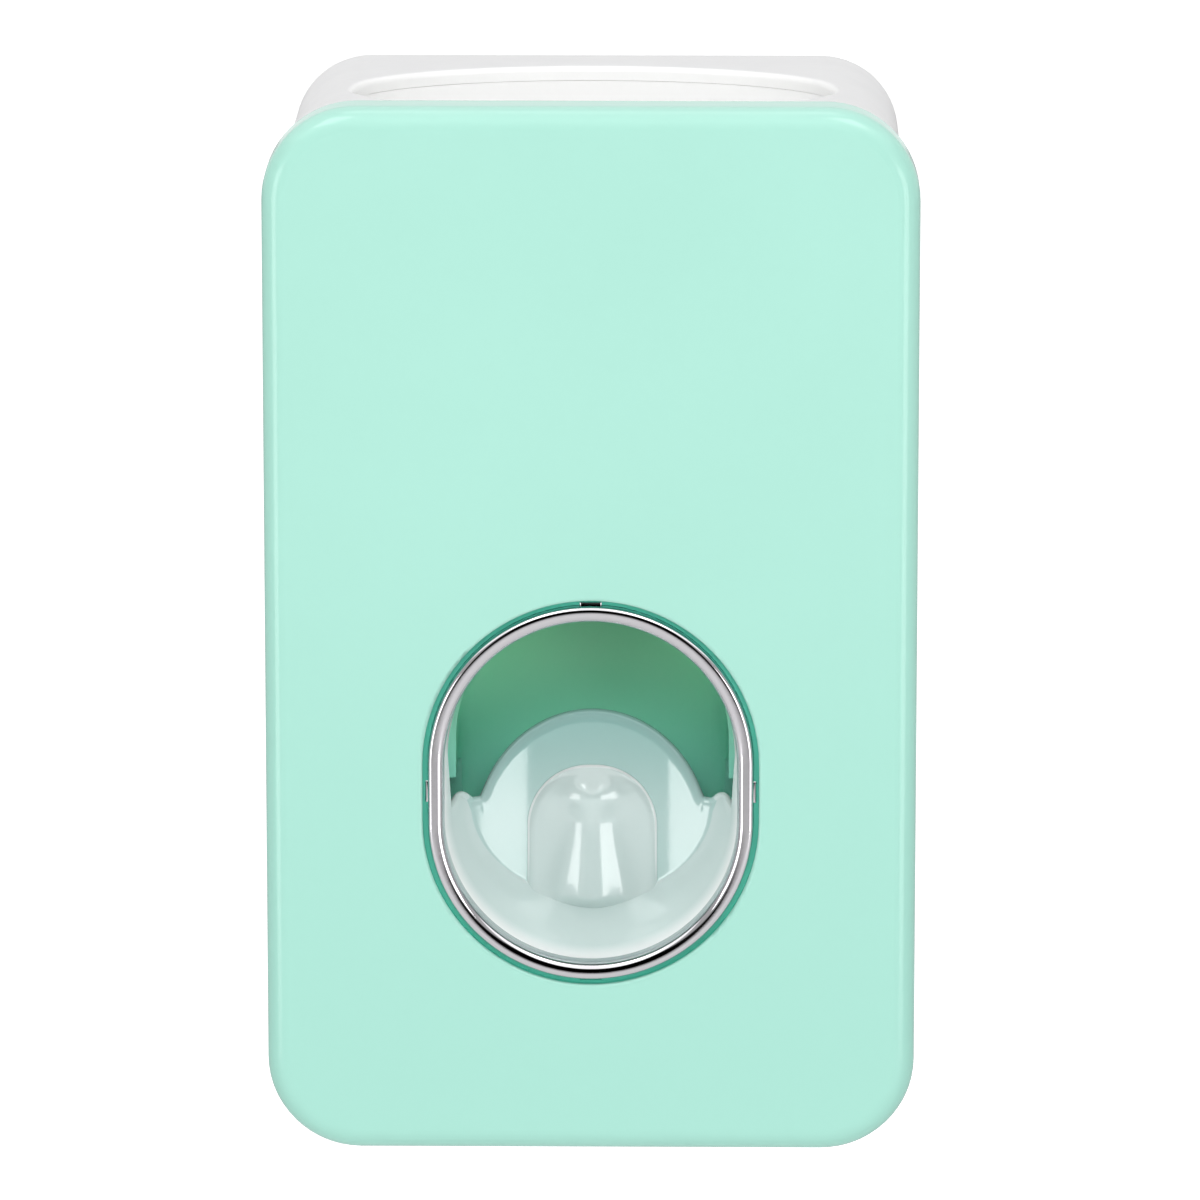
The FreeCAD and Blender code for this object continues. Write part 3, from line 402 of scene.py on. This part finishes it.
# ring = an outline of radius and depth carried round two half circles, the upper one with its own outline
def ovalRing(outline, upper, upperZ, lowerZ, steps=97):
    up = np.linspace(0.0, math.pi, steps)
    angle = np.concatenate([up, up + math.pi])
    middle = np.concatenate([np.full(steps, upperZ), np.full(steps, lowerZ)])
    radius = np.hstack([np.repeat(upper[:, :1], steps, axis=1), np.repeat(outline[:, :1], steps, axis=1)])
    depth = np.hstack([np.repeat(upper[:, 1:], steps, axis=1), np.repeat(outline[:, 1:], steps, axis=1)])
    points = placed(radius * np.cos(angle), depth, middle + radius * np.sin(angle))
    return gridSurface(points, wrapRows=True, wrapColumns=True)


# tube = outline of radius and depth turned about an axis that runs front to back
def turned(outline, x, z, steps=72):
    angle = np.arange(steps) * 2.0 * math.pi / steps
    radius, depth = outline[:, :1], outline[:, 1:]
    points = placed(x + radius * np.cos(angle), depth, z + radius * np.sin(angle))
    return gridSurface(points, wrapRows=True, wrapColumns=True)


# slab = rectangle with soft corners, drawn in at both faces by the edge rounding
def slab(x0, x1, z0, z1, depth0, depth1, corner, edge=0.3, steps=6, leastCut=0.05):
    turn = np.linspace(0.0, 0.5 * math.pi, steps)
    inset = np.concatenate([edge * (1 - np.sin(turn)), edge * (1 - np.sin(turn[::-1]))])
    depth = np.concatenate([depth0 + edge * (1 - np.cos(turn)), depth1 - edge * (1 - np.cos(turn[::-1]))])
    loops = []
    for i, d in zip(inset, depth):
        box = [(x0 + i, z0 + i), (x1 - i, z0 + i), (x1 - i, z1 - i), (x0 + i, z1 - i)]
        outline = softCorners(box, [max(c - i, leastCut) for c in corner])
        loops.append(placed(outline[:, 0], d, outline[:, 1]))
    return gridSurface(np.stack(loops), wrapColumns=True, caps=True)


# depth of the back wall: an arc across the cup
def backDepth(x):
    return cup["backMiddle"] - cup["backRadius"] + np.sqrt(cup["backRadius"] ** 2 - x ** 2)


# depth of the cup's inside: a tapered bowl and the back wall, softly joined
def cupDepth(x, z):
    radius = np.hypot(x, np.minimum(z - cup["lowerZ"], 0.0))
    bowl = cup["bandBack"] + (cup["throat"] - radius) / cup["taper"]
    return softMin(bowl, backDepth(x), cup["join"])


# depth of the tongue: a pad with a rounded edge, less a bell-shaped ridge that changes along z
def tongueDepth(x, z):
    across = np.abs(x) - tongue["half"] + tongue["corner"]
    above = z - tongue["top"] + tongue["corner"]
    span = np.hypot(np.maximum(across, 0), np.maximum(above, 0)) + np.minimum(np.maximum(across, above), 0)
    into = np.clip(1 - (tongue["corner"] - span) / tongue["edge"], 0, 1)
    rise = tongue["rise"] + tongue["flare"] * easedStep(-z, -tongue["flareTop"], -tongue["flareFoot"])
    pad = backDepth(x) - rise + tongue["edge"] * (1 - np.sqrt(1 - into ** 2))
    neck = easedStep(-z, -tongue["crownFoot"], -tongue["dipFoot"])
    low = easedStep(-z, -tongue["swellTop"], -tongue["swellFoot"])
    height = tongue["crown"] * easedStep(-z, -tongue["crownTop"], -tongue["crownFoot"])
    height = height - tongue["dip"] * neck
    height = height + tongue["swell"] * low
    height = height * (1 - tongue["toe"] * easedStep(-z, -tongue["toeTop"], -tongue["toeFoot"]))
    width = tongue["broad"] + (tongue["narrow"] - tongue["broad"]) * neck
    width = width + (tongue["wide"] - tongue["narrow"]) * low
    return pad - height * np.exp(-(x / width) ** 2)


# tongue: columns from under the bowl's floor up to its round top, closed one pad behind
def tongueShell(columnCount=181, frontRows=160, backRows=12):
    x = tongue["half"] * np.sin(np.linspace(-0.5, 0.5, columnCount) * math.pi)
    low = cup["lowerZ"] - np.sqrt(tongue["foot"] ** 2 - x ** 2)
    across = np.maximum(np.abs(x) - tongue["half"] + tongue["corner"], 0)
    high = tongue["top"] - tongue["corner"] + np.sqrt(np.maximum(tongue["corner"] ** 2 - across ** 2, 0))
    front = low + np.sin(np.linspace(0, 0.5, frontRows) * math.pi)[:, None] * (high - low)
    back = low + np.linspace(1, 0, backRows)[:, None] * (high - low)
    inside = placed(x, tongueDepth(x, front), front)
    outside = placed(x, backDepth(x) + cup["lip"], back)
    loops = np.concatenate([inside, outside])
    return gridSurface(loops.transpose(1, 0, 2), wrapColumns=True, caps=True)


# upper edge of the cup: the arch of the back wall, then a valley and a low peak at each side
def cupTop(x):
    across = np.abs(x)
    arch = cup["archMiddle"] + np.sqrt(np.maximum((cup["archRadius"] - cup["lip"]) ** 2 - across ** 2, 0))
    rim = cup["valley"] - cup["lip"] + cup["peak"] * easedStep(across, cup["valleyX"], cup["peakX"])
    rim = rim - cup["fall"] * easedStep(across, cup["peakX"], cup["throat"])
    return -softMin(-arch, -rim, cup["crest"])


# cup wall: columns from the throat up to the edge, half round over it, and down again one wall behind
def cupShell(columnCount=261, frontRows=230, edgeRows=12, backRows=70):
    x = cup["span"] * cup["throat"] * np.sin(np.linspace(-0.5, 0.5, columnCount) * math.pi)
    low = cup["lowerZ"] - np.sqrt(cup["throat"] ** 2 - x ** 2)
    high = cupTop(x)
    lift = np.gradient(high, x)
    length = np.hypot(1.0, lift)
    front = low + np.linspace(0, 1, frontRows)[:, None] * (high - low)
    back = low + np.linspace(1, 0, backRows)[:, None] * (high - low)
    turn = np.linspace(0, math.pi, edgeRows + 2)[1:-1, None]
    roll = cup["roll"] * np.clip(1 - (high - front) / length / cup["rollReach"], 0, 1) ** 2
    over = placed(
        x - cup["lip"] * lift / length * np.sin(turn),
        cupDepth(x, high) + cup["roll"] + cup["lip"] * (1 - np.cos(turn)),
        high + cup["lip"] / length * np.sin(turn))
    inside = placed(x, cupDepth(x, front) + roll, front)
    outside = placed(x, cupDepth(x, back) + cup["roll"] + 2 * cup["lip"], back)
    loops = np.concatenate([inside, over, outside])
    return gridSurface(loops.transpose(1, 0, 2), wrapColumns=True, caps=True)


# push cup: wall, front band, two guide ears with arms and ribs, and the lug that carries the yoke
def makeCup():
    ear = dict(
        hole=3.23, radius=5.6, front=4.0, back=12.0, arm=4.5, rib=1.0, root=21.3, end=25.2,
        inset=0.2, overlap=1.0, cuts=(0.3, 0.4, 0.4, 0.3), corners=(0.3, 0.3, 0.3, 0.3))
    lug = dict(half=8.0, low=2.7, high=20.0, front=4.2, back=6.6, corners=(0.3, 0.3, 2.0, 2.0))
    bands = [softCorners(
        [(inner, back), (cup["mouth"], cup["front"]),
         (cup["bandRadius"], cup["front"]), (cup["bandRadius"], cup["bandBack"])],
        cup["bandCuts"])
        for inner, back in ((cup["inner"], cup["innerBack"]), (cup["open"], cup["bandBack"]))]
    surfaces = [cupShell(), tongueShell(), ovalRing(*bands, cup["upperZ"], cup["lowerZ"])]
    tube = softCorners(
        [(ear["hole"], ear["front"]), (ear["radius"], ear["front"]),
         (ear["radius"], ear["back"]), (ear["hole"], ear["back"])],
        ear["cuts"])
    armRun = (ear["front"] + ear["inset"], cup["bandBack"])
    ribRun = (cup["bandBack"] - ear["overlap"], ear["back"] - ear["inset"])
    for side in (-1, 1):
        surfaces.append(turned(tube, side * rod["x"], rod["z"]))
        x0, x1 = sorted((side * ear["root"], side * ear["end"]))
        for half, run in ((ear["arm"], armRun), (ear["rib"], ribRun)):
            surfaces.append(slab(x0, x1, rod["z"] - half, rod["z"] + half, *run, ear["corners"]))
    surfaces.append(slab(
        -lug["half"], lug["half"], lug["low"], lug["high"], lug["front"], lug["back"], lug["corners"]))
    pieceFrom("pushCup", surfaces, "cup", "white_cup", "push_cup")


makeCup()
print("stage: cup made")


# chrome ring: a bead with a long inner rounding, a flange behind the cover, and four tabs in the groove
def makeRing():
    ring = dict(
        inner=20.25, outer=22.5, crown=-0.3, plate=2.4, flange=25.6, back=3.2,
        cuts=(0.1, 1.4, 0.8, 0.05, 0.1, 0.1))
    tab = dict(half=1.6, low=22.1, high=23.0, front=1.4, back=2.6, corners=(0.2, 0.2, 0.2, 0.2))
    outline = softCorners(
        [(ring["inner"], ring["back"]), (ring["inner"], ring["crown"]), (ring["outer"], ring["crown"]),
         (ring["outer"], ring["plate"]), (ring["flange"], ring["plate"]), (ring["flange"], ring["back"])],
        ring["cuts"], steps=17)
    surfaces = [ovalRing(outline, outline, cup["upperZ"], cup["lowerZ"], steps=161)]
    half, low, high = tab["half"], tab["low"], tab["high"]
    middle = 0.5 * (cup["upperZ"] + cup["lowerZ"])
    for x0, x1, z0, z1 in (
            (-half, half, cup["upperZ"] + low, cup["upperZ"] + high),
            (-half, half, cup["lowerZ"] - high, cup["lowerZ"] - low),
            (low, high, middle - half, middle + half),
            (-high, -low, middle - half, middle + half)):
        surfaces.append(slab(x0, x1, z0, z1, tab["front"], tab["back"], tab["corners"]))
    pieceFrom("chromeRing", surfaces, "cover", "chrome_trim", "chrome_ring")


makeRing()
print("stage: ring made")


# coil = wire circles square to a helix; the pair is mirrored, at the length of the CAD springs (the real pair
# shortens as the cup goes in)
def makeSprings():
    spring = dict(radius=3.3, wire=0.4, turns=10, steps=40, sides=12, travel=9.0)
    ends = [corner[1] / mm - frontY / mm for corner in frame["nodes"]["return_springs"].bound_box]
    first, last = min(ends), max(ends)
    angle = np.linspace(0, 2 * math.pi * spring["turns"], spring["turns"] * spring["steps"] + 1)[:, None]
    around = np.arange(spring["sides"])[None, :] * 2 * math.pi / spring["sides"]
    rise = last - first - 2 * spring["wire"]
    climb = math.atan2(rise / spring["turns"], 2 * math.pi * spring["radius"])
    out = spring["radius"] + spring["wire"] * np.cos(around)
    side = spring["wire"] * np.sin(around)
    x = rod["x"] + out * np.cos(angle) + side * math.sin(climb) * np.sin(angle)
    z = rod["z"] + out * np.sin(angle) - side * math.sin(climb) * np.cos(angle)
    depth = first + spring["wire"] + rise * angle / angle[-1] + side * math.cos(climb)
    coils = [gridSurface(placed(way * x, depth, z), wrapColumns=True, caps=True) for way in (1, -1)]
    piece = pieceFrom("returnSprings", coils, "dispenser", "steel", "return_springs")
    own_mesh(piece)


makeSprings()
print("stage: springs made")


# flat rectangle from its middle and two half edges
def cardMesh(name, middle, halfU, halfV, material):
    middle, halfU, halfV = np.array(middle), np.array(halfU), np.array(halfV)
    corners = np.array([
        middle - halfU - halfV, middle + halfU - halfV, middle + halfU + halfV, middle - halfU + halfV])
    mesh = bpy.data.meshes.new(name)
    mesh.from_pydata(corners.tolist(), [], [(0, 1, 2, 3)])
    card = bpy.data.objects.new(name, mesh)
    bpy.context.scene.collection.objects.link(card)
    mesh.materials.append(material)


# pale floor: lit colour for the scene, lifted to white for the eye and a little in reflections
def floorMaterial():
    tone = dict(low=0.79, high=0.81, spread=3.0, rough=0.9, seen=0.8, mirrored=0.06)
    material = bpy.data.materials.new("floor")
    material.use_nodes = True
    nodes, links = material.node_tree.nodes, material.node_tree.links
    shader = nodes["Principled BSDF"]
    shader.inputs["Roughness"].default_value = tone["rough"]
    coords = nodes.new("ShaderNodeTexCoord")
    shade = noiseValue(nodes, links, coords.outputs["Object"], tone["spread"], 2.0, tone["low"], tone["high"])
    links.new(shade, shader.inputs["Base Color"])
    path = nodes.new("ShaderNodeLightPath")
    seen = mathOf(nodes, links, "MULTIPLY", path.outputs["Is Camera Ray"], tone["seen"])
    mirrored = mathOf(nodes, links, "MULTIPLY", path.outputs["Is Glossy Ray"], tone["mirrored"])
    links.new(mathOf(nodes, links, "ADD", seen, mirrored), shader.inputs["Emission Strength"])
    shader.inputs["Emission Color"].default_value = (1, 1, 1, 1)
    return material


cardMesh("floor", (0, 1.5, -0.42), (5, 0, 0), (0, 3.5, 0), floorMaterial())


# soft box lamp at a place, turned to a target
def softBox(name, place, target, width, height, power):
    lamp = bpy.data.lights.new(name, "AREA")
    lamp.shape = "RECTANGLE"
    lamp.size, lamp.size_y = width, height
    lamp.energy = power
    holder = bpy.data.objects.new(name, lamp)
    bpy.context.scene.collection.objects.link(holder)
    holder.location = place
    holder.rotation_euler = (Vector(target) - Vector(place)).to_track_quat("-Z", "Y").to_euler()
    holder.visible_camera = False
    return holder


middleOfPart = (0.0, -0.03, 0.0)
softBox("boxLeft", (-1.08, -0.94, -0.06), middleOfPart, 0.55, 0.72, 4.25)
softBox("boxRight", (0.98, -1.06, -0.06), middleOfPart, 0.62, 0.72, 4.55)
softBox("boxTopLeft", (-0.5, -0.65, 1.25), middleOfPart, 0.6, 0.6, 4.65)
softBox("boxTopRight", (0.5, -0.65, 1.25), middleOfPart, 0.6, 0.6, 4.35)
softBox("boxAbove", (0.0, 0.12, 1.3), middleOfPart, 0.6, 0.4, 1.6)
frontBox = softBox("boxFront", (0.0, -1.5, 0.65), middleOfPart, 0.8, 0.6, 7.4)
frontBox.visible_glossy = False


# world: soft light, stronger behind, white to the eye; shiny things see a grey room, dark straight in front
def paintWorld():
    room = dict(fill=0.3, fillBehind=0.6, wall=0.55, ceiling=1.6, rise=0.48, top=0.6, turn=0.4)
    patch = dict(inside=0.35, outside=0.55, edges=(
        ("Y", -0.2, 0.0, 1.0, 0.0), ("Z", 0.5, 0.58, 1.0, 0.0), ("Z", -0.2, -0.06, 0.0, 1.0)))
    world = bpy.data.worlds.new("studio")
    bpy.context.scene.world = world
    world.use_nodes = True
    nodes, links = world.node_tree.nodes, world.node_tree.links
    path = nodes.new("ShaderNodeLightPath")
    coords = nodes.new("ShaderNodeTexCoord")
    way = nodes.new("ShaderNodeSeparateXYZ")
    links.new(coords.outputs["Generated"], way.inputs["Vector"])
    shown = ramp(nodes, links, way.outputs["Z"], room["rise"], room["top"], room["wall"], room["ceiling"])
    behind = ramp(nodes, links, way.outputs["Y"], 0.0, room["turn"], 0.0, 1.0)
    shown = mathOf(nodes, links, "MAXIMUM", shown, behind)
    aside = mathOf(nodes, links, "ABSOLUTE", way.outputs["X"], 0.0)
    dark = ramp(nodes, links, aside, patch["inside"], patch["outside"], 1.0, 0.0)
    for axis, low, high, fromLevel, toLevel in patch["edges"]:
        edge = ramp(nodes, links, way.outputs[axis], low, high, fromLevel, toLevel)
        dark = mathOf(nodes, links, "MULTIPLY", dark, edge)
    shown = mathOf(nodes, links, "MULTIPLY", shown, mathOf(nodes, links, "SUBTRACT", 1.0, dark))
    fill = ramp(nodes, links, way.outputs["Y"], 0.0, room["turn"], room["fill"], room["fillBehind"])
    glossy = mathOf(nodes, links, "SUBTRACT", shown, fill)
    glossy = mathOf(nodes, links, "MULTIPLY", path.outputs["Is Glossy Ray"], glossy)
    level = mathOf(nodes, links, "ADD", glossy, fill)
    level = mathOf(nodes, links, "MAXIMUM", level, path.outputs["Is Camera Ray"])
    links.new(level, nodes["Background"].inputs["Strength"])
    nodes["Background"].inputs["Color"].default_value = (1, 1, 1, 1)


paintWorld()
print("stage: light and floor set")


# camera at distance from the aim point, pitched down and turned a little to the right side
def aimCamera():
    view = dict(aim=(0.0013, frontY, 0.0053), pitch=12.5, yaw=0.77, distance=1.213, lens=264.7)
    pitch, yaw = math.radians(view["pitch"]), math.radians(view["yaw"])
    back = Vector((math.sin(yaw) * math.cos(pitch), -math.cos(yaw) * math.cos(pitch), math.sin(pitch)))
    camera = bpy.data.cameras.new("camera")
    camera.sensor_width = 36.0
    camera.lens = view["lens"]
    camera.clip_start, camera.clip_end = 0.05, 30.0
    holder = bpy.data.objects.new("camera", camera)
    bpy.context.scene.collection.objects.link(holder)
    holder.location = Vector(view["aim"]) + back * view["distance"]
    holder.rotation_euler = (-back).to_track_quat("-Z", "Y").to_euler()
    bpy.context.scene.camera = holder


aimCamera()
bpy.context.scene.view_settings.view_transform = "Standard"
